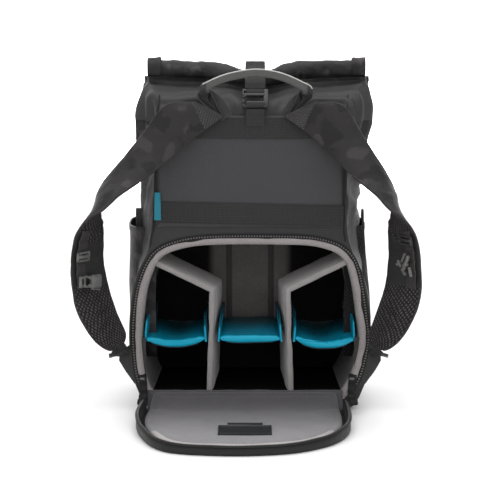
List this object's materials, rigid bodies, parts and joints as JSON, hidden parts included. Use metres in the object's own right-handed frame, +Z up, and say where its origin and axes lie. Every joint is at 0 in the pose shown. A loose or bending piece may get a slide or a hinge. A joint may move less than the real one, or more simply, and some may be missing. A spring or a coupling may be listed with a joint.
{
  "type": "camera backpack",
  "caption": "Roll-top camera backpack standing with its rear door folded down on the floor, showing a padded insert with dividers and teal slings.",
  "frame": {"origin": "centre of the flat underside of the base, on the floor", "axes": "+Z up, -Y towards the harness and the open door, +X to the right as seen from the harness side"},
  "size_m": [0.424, 0.3739, 0.4385],
  "materials": {
    "body_cloth": "woven, tonal blotches",
    "back_cloth": "fine plain weave",
    "stretch_cloth": "matte stretch weave",
    "strap_cloth": "tonal blotches outside, air mesh inside",
    "webbing": "ribbed webbing",
    "zip_tape": "woven tape with coil teeth",
    "insert_lining": "brushed loop lining",
    "teal_satin": "smooth satin",
    "tab_cloth": "woven tape",
    "rubber_patch": "matte moulded",
    "hardware": "moulded, fine texture"
  },
  "bodies": {
    "root": {"pack_shell": "body_cloth", "camera_insert": "insert_lining", "divider_left": "insert_lining", "divider_right": "insert_lining", "hammock_left": "teal_satin", "hammock_centre": "teal_satin", "hammock_right": "teal_satin", "zip_tape_body": "zip_tape", "door_tray": "body_cloth", "door_pad": "insert_lining", "door_label": "rubber_patch", "door_label_tab": "webbing", "door_hinge": "body_cloth", "zip_tape_door": "zip_tape", "zip_pull_left": "hardware", "zip_pull_right": "hardware", "back_panel": "back_cloth", "upper_band": "webbing", "lower_band": "webbing", "side_tab": "tab_cloth", "rolled_top": "body_cloth", "roll_end_tab_left": "body_cloth", "roll_end_tab_right": "body_cloth", "grab_handle": "webbing", "closing_strap": "webbing", "closing_strap_lower": "webbing", "closing_buckle": "hardware", "shoulder_strap_left": "strap_cloth", "strap_webbing_left": "webbing", "strap_slider_left": "hardware", "sternum_buckle_left": "hardware", "shoulder_strap_right": "strap_cloth", "strap_webbing_right": "webbing", "strap_slider_right": "hardware", "sternum_buckle_right": "hardware", "corner_wing_left": "body_cloth", "lower_webbing_left": "webbing", "ladder_buckle_left": "hardware", "corner_wing_right": "body_cloth", "lower_webbing_right": "webbing", "ladder_buckle_right": "hardware", "side_pocket_left": "body_cloth", "side_pocket_right": "stretch_cloth", "pocket_tab_left": "webbing", "pocket_cord_loop": "webbing"}
  },
  "joints": []
}
